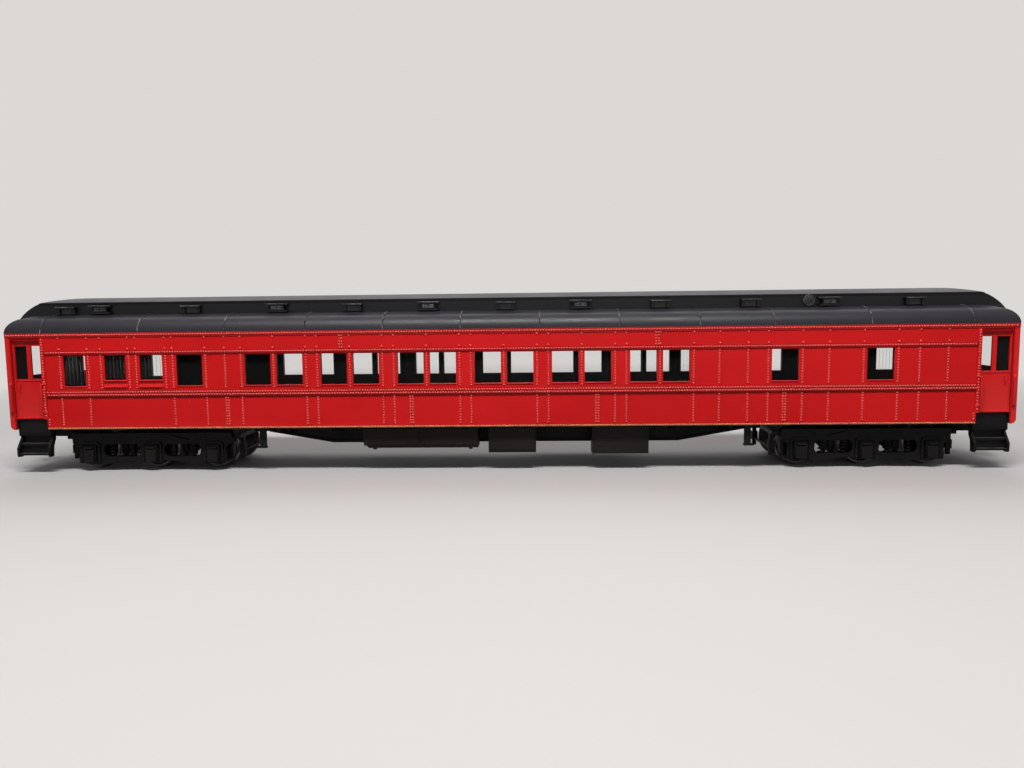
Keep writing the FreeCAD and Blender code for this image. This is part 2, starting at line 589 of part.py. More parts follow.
def axle_at(x):
    half = BACK_TO_BACK / 2 + WHEEL_WIDTH
    return fuse([
        rod(AXLE_RADIUS, (x, -half, AXLE_Z), (x, half, AXLE_Z)),
        rod(JOURNAL_RADIUS, (x, -SIDE_FRAME_OUT + 0.7, AXLE_Z), (x, SIDE_FRAME_OUT - 0.7, AXLE_Z)),
    ])


def wheel_at(x):
    """The near wheel of an axle: a disc with its flange on the inside and a dished outer face."""
    inner = BACK_TO_BACK / 2
    profile = [
        (AXLE_RADIUS, inner), (FLANGE_RADIUS - 0.25, inner), (FLANGE_RADIUS, inner + 0.25),
        (FLANGE_RADIUS - 0.1, inner + 0.6), (TREAD_RADIUS + 0.12, inner + 0.9),
        (TREAD_RADIUS, inner + WHEEL_WIDTH),
        (TREAD_RADIUS - 0.6, inner + WHEEL_WIDTH), (TREAD_RADIUS - 0.9, inner + WHEEL_WIDTH - 0.6),
        (2.1, inner + WHEEL_WIDTH - 0.6), (1.8, inner + WHEEL_WIDTH), (AXLE_RADIUS, inner + WHEEL_WIDTH),
    ]
    points = [FreeCAD.Vector(x, -y, AXLE_Z + radius) for radius, y in profile]
    face = Part.Face(Part.makePolygon(points + points[:1]))
    return face.revolve(FreeCAD.Vector(x, 0, AXLE_Z), Y_AXIS, 360)


def coupler(x_pivot):
    """A knuckle coupler facing +X: its shank with the eye, head and guard arm, and the knuckle."""
    low = COUPLER_Z - 0.8
    high = COUPLER_Z + 0.8
    shank = fuse([
        block((x_pivot, x_pivot + 8), (-1.1, 1.1), (low, high)),
        Part.makeCylinder(1.5, 1.6, FreeCAD.Vector(x_pivot, 0, low)),
    ])
    head_points = [(7.4, -1.5), (9.2, -2.6), (11.4, -2.6), (11.4, -1.7), (9.4, -1.2), (8.9, 0.4), (9.3, 1.6),
                   (9.3, 2.4), (8.2, 2.4), (7.4, 1.5)]
    corners = [FreeCAD.Vector(x_pivot + x, y, COUPLER_Z - 1.5) for x, y in head_points]
    head = Part.Face(Part.makePolygon(corners + corners[:1])).extrude(FreeCAD.Vector(0, 0, 3))
    eye = rod(0.66, (x_pivot, 0, low - 1), (x_pivot, 0, high + 1))
    body = cut(fuse([shank, head]), [eye])
    knuckle_points = [(9.3, 0.9), (11.2, 0.7), (11.2, -0.4), (11.9, -0.4), (11.9, 2.2), (11.0, 2.6), (9.3, 2.6)]
    corners = [FreeCAD.Vector(x_pivot + x, y, COUPLER_Z - 1.1) for x, y in knuckle_points]
    knuckle = Part.Face(Part.makePolygon(corners + corners[:1])).extrude(FreeCAD.Vector(0, 0, 2.2))
    return body, knuckle.cut(body)


def save_trucks():
    frame = truck_frame()
    boxes = journal_boxes()
    shift = FreeCAD.Vector(TRUCK_X, 0, 0)
    body, knuckle = coupler(COUPLER_PIVOT_X)
    for end, turn in (("a", mirror_x), ("b", lambda shape: shape)):
        save("truck_" + end + "_frame", [turn(frame.translated(shift))])
        save("truck_" + end + "_journal_boxes", [turn(box.translated(shift)) for box in boxes])
        save("coupler_" + end, [turn(body)])
        save("coupler_" + end + "_knuckle", [turn(knuckle)])
        for number, axle in enumerate((-1, 0, 1), start=1):
            x = TRUCK_X + axle * AXLE_PITCH
            near = wheel_at(x)
            name = end + str(number)
            save("axle_" + name, [turn(axle_at(x))])
            save("wheels_" + name, [turn(near), turn(mirror_y(near))])


os.makedirs("parts", exist_ok=True)
save_sides()
save_glazing()
save_vestibule_doors()
save_ends()
save_roof()
save_ventilators()
save_underframe()
save_equipment()
save_steps()
save_grab_irons()
save_trucks()
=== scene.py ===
import math

import bpy
from mathutils import Matrix, Vector


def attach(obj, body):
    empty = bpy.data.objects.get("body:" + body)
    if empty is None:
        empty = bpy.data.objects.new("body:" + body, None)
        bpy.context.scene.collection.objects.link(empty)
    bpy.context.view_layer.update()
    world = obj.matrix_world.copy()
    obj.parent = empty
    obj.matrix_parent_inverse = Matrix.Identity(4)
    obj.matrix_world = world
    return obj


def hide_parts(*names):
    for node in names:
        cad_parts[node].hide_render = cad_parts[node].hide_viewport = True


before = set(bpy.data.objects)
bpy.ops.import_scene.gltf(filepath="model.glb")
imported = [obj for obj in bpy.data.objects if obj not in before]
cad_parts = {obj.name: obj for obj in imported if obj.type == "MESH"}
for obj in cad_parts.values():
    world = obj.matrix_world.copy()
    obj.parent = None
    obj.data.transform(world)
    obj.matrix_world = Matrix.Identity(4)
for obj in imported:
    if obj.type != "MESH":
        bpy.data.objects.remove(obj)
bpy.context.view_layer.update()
MM = 0.001

# Red body sides. The real shell is moulded styrene, sprayed with a satin red enamel that lies a little
# unevenly and is thinner on raised edges; the rivet heads are paler all over, painted highlight as well as
# that wear, and the riveted belt, letterboard and eave bands are darkened with painted shade; inside it is
# left near black.


class Value:
    """A number socket that can be used in Python expressions; each operation adds one Math node."""

    def __init__(self, maker, socket):
        self.maker = maker
        self.socket = socket

    def _math(self, operation, first, second):
        return self.maker.node("ShaderNodeMath", {"operation": operation}, {0: first, 1: second})

    def __add__(self, other):
        return self._math("ADD", self, other)

    __radd__ = __add__

    def __sub__(self, other):
        return self._math("SUBTRACT", self, other)

    def __rsub__(self, other):
        return self._math("SUBTRACT", other, self)

    def __mul__(self, other):
        return self._math("MULTIPLY", self, other)

    __rmul__ = __mul__

    def __lt__(self, other):
        return self._math("LESS_THAN", self, other)

    def __gt__(self, other):
        return self._math("GREATER_THAN", self, other)


class Finish:
    """One material under construction, with a Principled shader and Object coordinates."""

    def __init__(self, name, **shader):
        self.material = bpy.data.materials.new(name)
        self.material.use_nodes = True
        self.tree = self.material.node_tree
        self.shader = self.tree.nodes["Principled BSDF"]
        for socket, value in shader.items():
            self.shader.inputs[socket.replace("_", " ")].default_value = value
        self.place = self.node("ShaderNodeTexCoord", {}, {}, "Object")

    def node(self, kind, settings, inputs, output=0):
        made = self.tree.nodes.new(kind)
        for name, value in settings.items():
            setattr(made, name, value)
        for name, value in inputs.items():
            if isinstance(value, Value):
                self.tree.links.new(value.socket, made.inputs[name])
            else:
                made.inputs[name].default_value = value
        return Value(self, made.outputs[output])

    def noise(self, scale, detail=3.0, roughness=0.5):
        sockets = {"Vector": self.place, "Scale": scale, "Detail": detail, "Roughness": roughness}
        return self.node("ShaderNodeTexNoise", {}, sockets)

    def axis(self, name):
        return self.node("ShaderNodeSeparateXYZ", {}, {"Vector": self.place}, name)

    def fade(self, value, low, high, to_low=0.0, to_high=1.0):
        sockets = {"Value": value, "From Min": low, "From Max": high, "To Min": to_low, "To Max": to_high}
        return self.node("ShaderNodeMapRange", {"clamp": True}, sockets)

    def size_of(self, value):
        return self.node("ShaderNodeMath", {"operation": "ABSOLUTE"}, {0: value})

    def mix(self, factor, first, second):
        return self.node("ShaderNodeMix", {"data_type": "RGBA"}, {0: factor, 6: first, 7: second}, 2)

    def bump(self, height, distance, strength=1.0):
        return self.node("ShaderNodeBump", {}, {"Height": height, "Distance": distance, "Strength": strength})

    def wire(self, socket, value):
        self.tree.links.new(value.socket, self.shader.inputs[socket])

    def over(self, factor, behind):
        """Shows the Principled shader over another shader, as far as `factor` says."""
        front = Value(self, self.shader.outputs[0])
        mixed = self.node("ShaderNodeMixShader", {}, {0: factor, 1: behind, 2: front})
        self.tree.links.new(mixed.socket, self.tree.nodes["Material Output"].inputs["Surface"])


def finish_node(name, material):
    for material_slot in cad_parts[name].material_slots:
        material_slot.material = material


RED = (0.50, 0.0075, 0.0085, 1)
RED_DEEP = (0.43, 0.0050, 0.0060, 1)
RED_WORN_AND_HIGHLIGHT = (0.74, 0.125, 0.105, 1)
RED_SHADE = (0.17, 0.0028, 0.0034, 1)
DUST = (0.60, 0.26, 0.22, 1)
LINER = (0.0030, 0.0024, 0.0032, 1)
BELT_RAIL = (22.3, 24.3, 130.9)
LETTERBOARD_EDGE = (34.4, 35.6, 130.9)
EAVE_BAND = (39.6, 41.5, 143.0)
INNER_SIDE_Y = 16.95


def red_enamel(name, lined_axis="", lined_below=0.0, wear_and_highlight=0.0, painted_shade_rails=()):
    """Red paint, dark nearer than `lined_below` on one axis and darkened with painted shade in the given bands
    (low, high, half length).
    """
    paint = Finish(name, IOR=1.46, Specular_IOR_Level=0.15 + 0.6 * wear_and_highlight)
    patches = paint.fade(paint.noise(38, 4), 0.35, 0.68)
    colour = paint.mix(patches, RED, RED_DEEP)
    # Raised edges are lightened a little for rubbed paint; the last argument lightens the whole surface, which
    # on the rivet heads is painted highlight as well as rubbed paint.
    corner = paint.node("ShaderNodeNewGeometry", {}, {}, "Pointiness")
    edge = paint.fade(corner, 0.52, 0.60, 0.0, 0.12) + wear_and_highlight
    colour = paint.mix(edge, colour, RED_WORN_AND_HIGHLIGHT)
    # Painted shade: the belt, letterboard-edge and eave bands are darkened as if they lay in the shadow of the
    # rail bands.
    for low, high, half_length in painted_shade_rails:
        height = paint.axis("Z")
        along = paint.size_of(paint.axis("X"))
        band = (height > low * MM) * (height < high * MM) * (along < half_length * MM)
        colour = paint.mix(band * 0.62, colour, RED_SHADE)
    dust = paint.fade(paint.noise(700, 2, 0.7), 0.72, 0.82, 0.0, 0.16)
    colour = paint.mix(dust, colour, DUST)
    if lined_axis:
        colour = paint.mix(paint.size_of(paint.axis(lined_axis)) < lined_below, colour, LINER)
    paint.wire("Base Color", colour)
    paint.wire("Roughness", paint.fade(paint.noise(60, 3), 0.3, 0.7, 0.36, 0.5))
    orange_peel = paint.noise(1400, 2) * 0.6 + paint.noise(260, 2) * 0.4
    paint.wire("Normal", paint.bump(orange_peel, 0.05 * MM, 0.5))
    return paint.material


body_red = red_enamel("body_red_enamel", "Y", INNER_SIDE_Y * MM,
                      painted_shade_rails=(BELT_RAIL, LETTERBOARD_EDGE, EAVE_BAND))
plain_red = red_enamel("trim_red_enamel")
# Rivet heads: paler all over as painted highlight as well as rubbed paint, and glossier.
raised_red = red_enamel("rubbed_and_highlit_red_enamel", wear_and_highlight=0.40)
for wall in ("side_wall_near", "side_wall_far"):
    finish_node(wall, body_red)


# Rivets on the sides. Each is a low domed head raised on the shell by the mould, in rows along the sill,
# the belt rail, the letterboard and the eave, and in columns over the posts between the windows.
RIVET_PITCH = 0.75
RIVET_RADIUS = 0.29
RIVET_HEIGHT = 0.28
SIDE_FACE = 17.4
BELT_FACE = 17.8
LETTERBOARD_FACE = 17.62
POST_FACE = 17.7
RAIL_X = (-130.1, 130.2)
BELT_ROWS_Z = (23.75, 22.95)
LETTERBOARD_ROW_Z = 35.1
EAVE_ROW_Z = 40.1
EAVE_HALF_LENGTH = 141.2
PANEL_FOOT_Z = 14.35
PANEL_HEADS = 11
WINDOW_BAND_FOOT_Z = 25.0
WINDOW_BAND_HEADS = 13
LETTERBOARD_PAIR_Z = 36.1
LETTERBOARD_PAIR_RISE = 3.1
PANEL_SPLICES_X = (-78.6, -77.9, -25.9, -25.2, 26.4, 27.1, 78.2, 78.9)
LETTERBOARD_SPLICES_X = (-45.6, -44.9, 43.0, 43.7)
CORNER_POST_X = 131.15


def settle(piece):
    """Applies a piece's modifiers and its place, so that its object sits at the origin."""
    bpy.ops.object.select_all(action="DESELECT")
    bpy.context.view_layer.objects.active = piece
    piece.select_set(True)
    for modifier in list(piece.modifiers):
        bpy.ops.object.modifier_apply(modifier=modifier.name)
    bpy.ops.object.transform_apply(location=True, rotation=True, scale=True)
    return piece


def copy_of(piece, name):
    twin = piece.copy()
    twin.data = piece.data.copy()
    twin.name = name
    bpy.context.scene.collection.objects.link(twin)
    return twin


def join(pieces, name):
    bpy.ops.object.select_all(action="DESELECT")
    for piece in pieces:
        piece.select_set(True)
    bpy.context.view_layer.objects.active = pieces[0]
    if len(pieces) > 1:
        bpy.ops.object.join()
    pieces[0].name = name
    pieces[0].data.name = name
    return pieces[0]


def dress(piece, material, body="car_body"):
    piece.data.materials.clear()
    piece.data.materials.append(material)
    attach(piece, body)
    return piece


def domed_head(name, radius, height, outward, segments=8):
    """A shallow domed head at the origin, facing along `outward`."""
    bpy.ops.object.select_all(action="DESELECT")
    bpy.ops.mesh.primitive_uv_sphere_add(segments=segments, ring_count=4, radius=radius)
    head = bpy.context.active_object
    head.name = name
    bpy.ops.object.mode_set(mode="EDIT")
    bpy.ops.mesh.select_all(action="SELECT")
    bpy.ops.mesh.bisect(plane_co=(0, 0, 0), plane_no=(0, 0, 1), use_fill=True, clear_inner=True)
    bpy.ops.mesh.select_all(action="SELECT")
    bpy.ops.transform.resize(value=(1, 1, height / radius), center_override=(0, 0, 0))
    bpy.ops.object.mode_set(mode="OBJECT")
    head.rotation_euler = Vector((0, 0, 1)).rotation_difference(Vector(outward)).to_euler()
    settle(head)
    bpy.ops.object.shade_smooth_by_angle(angle=math.radians(50))
    return head


def row(head, start, step, count):
    """A straight row of heads, as one mesh."""
    line = copy_of(head, "row")
    line.location = [value * MM for value in start]
    if count > 1:
        array = line.modifiers.new("repeat", "ARRAY")
        array.use_relative_offset = False
        array.use_constant_offset = True
        array.constant_offset_displace = [value * MM for value in step]
        array.count = count
    return settle(line)


def count_of(low, high, pitch=RIVET_PITCH):
    return int((high - low) / pitch) + 1


PAIR_CENTRES = [-64.6 + 21.76 * number for number in range(6)]
NEAR_SINGLES = (-88.8, 78.7, 104.7)
FAR_SINGLES = (-113.1, 75.3, 84.4)
WINDOW_SPAN = 7.4
WASHROOMS = {-1: ((-110.3, 6.1), (-99.9, 6.5)), 1: ((99.9, 6.5), (110.3, 6.1))}
TALL_FLUTED = {-1: ((-122.1, 6.4),), 1: ((59.1, 6.1), (121.0, 6.4))}
PAIR_POST = 9.3
FRAME_POST = 1.0
NEAR_POSTS = (-126.25, -118.05, 60.6, 68.4, 90.6, 115.2, 122.9)
FAR_POSTS = (-124.6, -101.5, -92.8, -84.1, 64.5, 70.4, 79.9, 89.3, 116.9, 125.1)
LAST_FAR_POST = 10.2
NEAR_HALF_POST = -78.5


def columns(side):
    """Places along the car of the rivet columns: full-height posts, and those beside the windows only."""
    full = []
    for centre in PAIR_CENTRES:
        full += [centre - PAIR_POST, centre + PAIR_POST]
    singles = NEAR_SINGLES if side < 0 else FAR_SINGLES[:1]
    for centre in singles:
        full += [centre - WINDOW_SPAN / 2 - FRAME_POST, centre + WINDOW_SPAN / 2 + FRAME_POST]
    full += NEAR_POSTS if side < 0 else FAR_POSTS
    if side > 0:
        full.remove(PAIR_CENTRES[-1] + PAIR_POST)
        full.append(PAIR_CENTRES[-1] + LAST_FAR_POST)
    upper = list(PAIR_CENTRES) + ([NEAR_HALF_POST] if side < 0 else [])
    for centre, width in WASHROOMS[side]:
        upper += [centre - width / 2 - FRAME_POST, centre + width / 2 + FRAME_POST]
    return full, upper


def riveted_side(side, name):
    head = domed_head("rivet", RIVET_RADIUS * MM, RIVET_HEIGHT * MM, (0, side, 0))
    pitch = (RIVET_PITCH, 0, 0)
    rise = (0, 0, RIVET_PITCH)
    low, high = RAIL_X
    belt, letterboard, plate = side * BELT_FACE, side * LETTERBOARD_FACE, side * SIDE_FACE
    rows = []
    rows.append(row(head, (low, belt, BELT_ROWS_Z[0]), pitch, count_of(low, high)))
    rows.append(row(head, (low + RIVET_PITCH / 2, belt, BELT_ROWS_Z[1]), pitch, count_of(low, high)))
    rows.append(row(head, (low, letterboard, LETTERBOARD_ROW_Z), pitch, count_of(low, high)))
    rows.append(row(head, (-EAVE_HALF_LENGTH, belt, EAVE_ROW_Z), pitch,
                    count_of(-EAVE_HALF_LENGTH, EAVE_HALF_LENGTH)))
    full, upper = columns(side)
    for x in full:
        rows.append(row(head, (x, plate, PANEL_FOOT_Z), rise, PANEL_HEADS))
    for x in full + upper:
        rows.append(row(head, (x, plate, WINDOW_BAND_FOOT_Z), rise, WINDOW_BAND_HEADS))
        rows.append(row(head, (x, letterboard, LETTERBOARD_PAIR_Z), (0, 0, LETTERBOARD_PAIR_RISE), 2))
    for x in PANEL_SPLICES_X:
        rows.append(row(head, (x, plate, PANEL_FOOT_Z), rise, PANEL_HEADS))
    for x in LETTERBOARD_SPLICES_X:
        rows.append(row(head, (x, letterboard, 36.0), (0, 0, 0.8), 5))
    for end in (-1, 1):
        rows.append(row(head, (end * CORNER_POST_X, side * POST_FACE, 17.1), rise, 30))
        rows.append(row(head, (end * (CORNER_POST_X - 0.75), plate, PANEL_FOOT_Z), rise, 3))
    bpy.data.objects.remove(head)
    dress(join(rows, name), raised_red)


riveted_side(-1, "side_rivets_near")
riveted_side(1, "side_rivets_far")

# Sill stripe. A narrow line of dull gold paint runs along the bottom edge of each side, over a raised edge
# strip and its rivets; the gold is put on the heads only, and the strip between them is a dark brown red as
# painted shade between the heads.
stripe_gold = Finish("sill_gold_paint", IOR=1.45)
wear = stripe_gold.fade(stripe_gold.noise(420, 4, 0.6), 0.45, 0.65)
stripe_gold.wire("Base Color", stripe_gold.mix(wear, (0.42, 0.20, 0.072, 1), (0.36, 0.10, 0.042, 1)))
stripe_gold.wire("Roughness", stripe_gold.fade(stripe_gold.noise(700, 2), 0.3, 0.7, 0.35, 0.55))
# Painted shade: the edge strip under the gold heads is dark so that the gaps between them read as shadow.
edge_brown_shade = Finish("sill_edge_painted_shade", IOR=1.45)
streak = edge_brown_shade.fade(edge_brown_shade.noise(300, 4, 0.6), 0.4, 0.65)
edge_brown_shade.wire("Base Color", edge_brown_shade.mix(streak, (0.20, 0.038, 0.018, 1), (0.36, 0.125, 0.050, 1)))
edge_brown_shade.wire("Roughness", edge_brown_shade.fade(edge_brown_shade.noise(600, 2), 0.3, 0.7, 0.4, 0.6))
STRIPE_HALF_LENGTH = 130.75
STRIPE_Y = (17.3, 17.6)
STRIPE_Z = (13.02, 13.52)
BEAD_RADIUS = 0.27
BEAD_HEIGHT = 0.22
BEAD_FACE = 17.58
BEAD_Z = 13.32


def rounded_block(x, y, z, edge, name="block", segments=2):
    """A block between (low, high) spans in millimetres, with its edges rounded."""
    spans = (x, y, z)
    bpy.ops.object.select_all(action="DESELECT")
    bpy.ops.mesh.primitive_cube_add(size=1, location=[sum(span) / 2 * MM for span in spans])
    piece = bpy.context.active_object
    piece.name = name
    piece.scale = [(span[1] - span[0]) * MM for span in spans]
    bpy.ops.object.transform_apply(location=True, rotation=True, scale=True)
    if edge > 0:
        round_off = piece.modifiers.new("edge", "BEVEL")
        round_off.width = edge * MM
        round_off.segments = segments
    return settle(piece)


for side, side_name in ((-1, "near"), (1, "far")):
    across = sorted(side * y for y in STRIPE_Y)
    strip = rounded_block((-STRIPE_HALF_LENGTH, STRIPE_HALF_LENGTH), across, STRIPE_Z, 0.09,
                          "sill_edge_" + side_name)
    dress(strip, edge_brown_shade.material)
    head = domed_head("rivet", BEAD_RADIUS * MM, BEAD_HEIGHT * MM, (0, side, 0))
    beads = row(head, (-STRIPE_HALF_LENGTH + 0.3, side * BEAD_FACE, BEAD_Z), (RIVET_PITCH, 0, 0),
                count_of(-STRIPE_HALF_LENGTH, STRIPE_HALF_LENGTH - 0.5))
    bpy.data.objects.remove(head)
    beads.name = "sill_stripe_" + side_name
    dress(beads, stripe_gold.material)


# Window sills. A small moulded lip under every opening, with its upper edge rounded by the spray coat; the
# washroom windows have a deeper ledge, and a short riveted strip where a full window would have ended.
SILL_Z = 25.3
LEDGE_Z = 27.0
SHORT_STRIP_Z = 25.4


def ledge(x, width, side, z, height, proud):
    across = sorted((side * (SIDE_FACE - 0.2), side * (SIDE_FACE + proud)))
    return rounded_block((x - width / 2, x + width / 2), across, (z - height / 2, z + height / 2),
                         min(height, proud) * 0.35, "ledge")


for side, side_name in ((-1, "near"), (1, "far")):
    clear = [centre + shift for centre in PAIR_CENTRES for shift in (-4.55, 4.55)]
    clear += NEAR_SINGLES if side < 0 else FAR_SINGLES
    sills = [ledge(x, WINDOW_SPAN + 0.3, side, SILL_Z, 0.25, 0.25) for x in clear]
    sills += [ledge(x, width + 0.3, side, SILL_Z, 0.25, 0.25) for x, width in TALL_FLUTED[side]]
    head = domed_head("rivet", RIVET_RADIUS * MM, RIVET_HEIGHT * MM, (0, side, 0))
    for x, width in WASHROOMS[side]:
        sills.append(ledge(x, width + 0.6, side, LEDGE_Z, 0.35, 0.4))
        sills.append(ledge(x, width + 0.6, side, SHORT_STRIP_Z, 0.9, 0.3))
        first = (x - width / 2, side * POST_FACE, SILL_Z)
        sills.append(row(head, first, (RIVET_PITCH, 0, 0), count_of(0, width)))
    bpy.data.objects.remove(head)
    dress(join(sills, "window_sills_" + side_name), plain_red)

# Glazing. Clear styrene sheet sits behind the window openings, faintly scratched. The washroom panes are
# moulded with upright round-ended flutes, which show as pale and dark bars; the pale edges are a grey colour
# shown where each flute turns from the eye, a painted reflection.


def glazing(name, edges):
    """Thin clear plastic; `edges` is how much of its pale colour shows where it turns from the eye, a painted
    reflection.
    """
    sheet = Finish(name, IOR=1.5, Base_Color=(0.22, 0.21, 0.205, 1))
    see_through = sheet.node("ShaderNodeBsdfTransparent", {}, {"Color": (0.985, 0.985, 0.985, 1)})
    gloss = sheet.node("ShaderNodeFresnel", {}, {"IOR": 1.4})
    scratches = sheet.fade(sheet.noise(220, 6, 0.7), 0.60, 0.75, 0.0, 0.02)
    # Painted reflection: the grey colour shows more where the surface turns away from the eye.
    turning_reflection = sheet.fade(sheet.node("ShaderNodeLayerWeight", {}, {"Blend": 0.5}, "Facing"), 0.35, 0.85)
    back = sheet.node("ShaderNodeNewGeometry", {}, {}, "Backfacing")
    sheet.over((gloss * 0.8 + scratches + turning_reflection * edges) * (1 - back), see_through)
    sheet.wire("Roughness", sheet.fade(sheet.noise(90, 3), 0.3, 0.7, 0.10, 0.22))
    return sheet.material


clear_styrene = glazing("clear_styrene_sheet", 0.0)
for node in ("clear_window_panes", "vestibule_door_panes", "end_door_panes", "fluted_window_panes"):
    finish_node(node, clear_styrene)

def bar(start, end, radius, sides=10, name="bar", rounding=0.3):
    """A round bar between two points in millimetres; `rounding` is its end rounding over its radius."""
    first = Vector(start) * MM
    last = Vector(end) * MM
    bpy.ops.object.select_all(action="DESELECT")
    bpy.ops.mesh.primitive_cylinder_add(vertices=sides, radius=radius * MM, depth=(last - first).length,
                                        location=(first + last) / 2)
    piece = bpy.context.active_object
    piece.name = name
    piece.rotation_euler = Vector((0, 0, 1)).rotation_difference(last - first).to_euler()
    bpy.ops.object.transform_apply(location=True, rotation=True, scale=True)
    round_off = piece.modifiers.new("edge", "BEVEL")
    round_off.limit_method = "ANGLE"
    round_off.width = radius * rounding * MM
    round_off.segments = 2 if rounding < 0.5 else 5
    settle(piece)
    bpy.ops.object.shade_smooth_by_angle(angle=math.radians(40))
    return piece


WINDOW_TOP_Z = 34.2
WASHROOM_SILL_Z = 27.2
TALL_SILL_Z = 25.45
FLUTES = 6
FLUTE_Y = 16.3
flutes = []
for side in (-1, 1):
    fluted = [(x, width, WASHROOM_SILL_Z) for x, width in WASHROOMS[side]]
    fluted += [(x, width, TALL_SILL_Z) for x, width in TALL_FLUTED[side]]
    for x, width, sill in fluted:
        pitch = width / FLUTES
        start = x - width / 2 + pitch / 2
        flute = bar((start, 0, sill + 0.1), (start, 0, WINDOW_TOP_Z - 0.1), pitch * 0.46, 16, "flute", 0.96)
        flute.scale = (1, 0.6, 1)
        flute.location = (0, side * FLUTE_Y * MM, 0)
        repeat = flute.modifiers.new("repeat", "ARRAY")
        repeat.use_relative_offset = False
        repeat.use_constant_offset = True
        repeat.constant_offset_displace = (pitch * MM, 0, 0)
        repeat.count = FLUTES
        flutes.append(settle(flute))
dress(join(flutes, "washroom_flutes"), glazing("fluted_styrene", 0.75))

# Vestibule side doors. Each leaf is one red moulding with a panel below two tall lights; it has a threshold
# strip, a drop handle and three hinges.
finish_node("vestibule_side_doors", red_enamel("side_door_enamel", "Y", 16.2 * MM))
DOOR_FACE = 16.6


def at_corner(end, side, x, y, z):
    """Spans given for the corner at end B on the far side, turned to another corner."""
    along = sorted(end * value for value in x)
    across = sorted(side * value for value in y)
    return along, across, z


DOOR_X = (131.75, 140.25)
STILE_Z = (16.6, 38.1)
THRESHOLD_Z = (16.15, 16.6)
LINTEL_Z = (38.1, 38.65)
LIGHT_SILL_Z = (27.05, 27.35)
HANDLE_X = 138.7
HANDLE_Z = (24.4, 26.3)
HINGE_X = 131.95
door_trim = []
for end in (-1, 1):
    for side in (-1, 1):
        for x, proud, z in (
            (DOOR_X, 0.5, THRESHOLD_Z),
            (DOOR_X, 0.3, LINTEL_Z),
            ((132.0, 139.9), 0.15, LIGHT_SILL_Z),
            ((DOOR_X[0], 132.0), 0.25, STILE_Z),
            ((139.95, DOOR_X[1]), 0.25, STILE_Z),
        ):
            door_trim.append(rounded_block(*at_corner(end, side, x, (DOOR_FACE, DOOR_FACE + proud), z), 0.05))
        lever_y = side * (DOOR_FACE + 0.5)
        low, high = [(end * HANDLE_X, lever_y, z) for z in HANDLE_Z]
        door_trim.append(bar(low, high, 0.16))
        door_trim.append(bar((end * HANDLE_X, side * DOOR_FACE, 26.1), (end * HANDLE_X, lever_y, 26.1), 0.16))
        hinge_y = side * (DOOR_FACE + 0.25)
        for z in (18.5, 26.0, 36.0):
            door_trim.append(bar((end * HINGE_X, hinge_y, z - 0.5), (end * HINGE_X, hinge_y, z + 0.5), 0.18))
dress(join(door_trim, "vestibule_door_trim"), plain_red)


# Handholds. Bent wire beside each vestibule door, standing off the post on two flattened feet and painted
# red with the body.
HANDHOLD_BOTTOM = 18.0
HANDHOLD_TOP = 26.2
WIRE_RADIUS = 0.27


def handhold(x, side, lean):
    """A wire handhold at x; `lean` is how far it swings out towards the doorway."""
    face = side * (POST_FACE - 0.05)
    proud = face + side * 0.72
    low = (x + lean, proud, HANDHOLD_BOTTOM + 0.25)
    high = (x + lean, proud, HANDHOLD_TOP - 0.25)
    route = [(x, face, HANDHOLD_BOTTOM), low, high, (x, face, HANDHOLD_TOP)]
    return [bar(first, last, WIRE_RADIUS, 12, "wire", 0.96) for first, last in zip(route, route[1:])]


wires = []
for end in (-1, 1):
    for side in (-1, 1):
        for x, lean in ((131.0, 0.7), (141.0, -0.5)):
            wires += handhold(end * x, side, end * lean)
            for z in (HANDHOLD_BOTTOM, HANDHOLD_TOP):
                foot = domed_head("foot", 0.42 * MM, 0.22 * MM, (0, side, 0), 10)
                foot.location = (end * x * MM, side * POST_FACE * MM, z * MM)
                wires.append(settle(foot))
handholds = join(wires, "handholds")
dress(handholds, plain_red)
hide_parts("grab_irons")

# End walls and doors. Flat red plates with a riveted edge and two collision posts beside the doorway; a
# door of two leaves, each with one light above two panels, stands behind the passage diaphragm.
END_FACE = 141.75
DOOR_SKIN = (141.1, 141.3)
COLLISION_POST_Y = (10.2, 11.2)
COLLISION_POST_Z = (14.4, 40.4)
END_COLUMNS_Y = (-16.9, -12.4, 12.4, 16.9)
DOOR_PANELS_Z = ((15.6, 20.8), (21.6, 26.8))
DOOR_PANEL_Y = (1.2, 7.4)
end_red = red_enamel("end_wall_enamel", "X", 141.0 * MM)
for node in ("end_wall_a", "end_wall_b"):
    finish_node(node, end_red)
finish_node("end_doors", red_enamel("end_door_enamel", "X", 140.9 * MM))
end_trim = []
for end in (-1, 1):
    head = domed_head("rivet", RIVET_RADIUS * MM, RIVET_HEIGHT * MM, (end, 0, 0))
    for y in END_COLUMNS_Y:
        end_trim.append(row(head, (end * END_FACE, y, 14.6), (0, 0, RIVET_PITCH), 33))
    end_trim.append(row(head, (end * END_FACE, -16.5, EAVE_ROW_Z), (0, 1.0, 0), 34))
    bpy.data.objects.remove(head)
    post_x = (END_FACE - 0.1, END_FACE + 0.45)
    for side in (-1, 1):
        spans = at_corner(end, side, post_x, COLLISION_POST_Y, COLLISION_POST_Z)
        end_trim.append(rounded_block(*spans, 0.12))
        for panel_z in DOOR_PANELS_Z:
            end_trim.append(rounded_block(*at_corner(end, side, DOOR_SKIN, DOOR_PANEL_Y, panel_z), 0.08))
    knob = domed_head("knob", 0.4 * MM, 0.5 * MM, (end, 0, 0), 12)
    knob.location = (end * 141.15 * MM, 0.7 * MM, 25.5 * MM)
    end_trim.append(settle(knob))
dress(join(end_trim, "end_wall_trim"), plain_red)

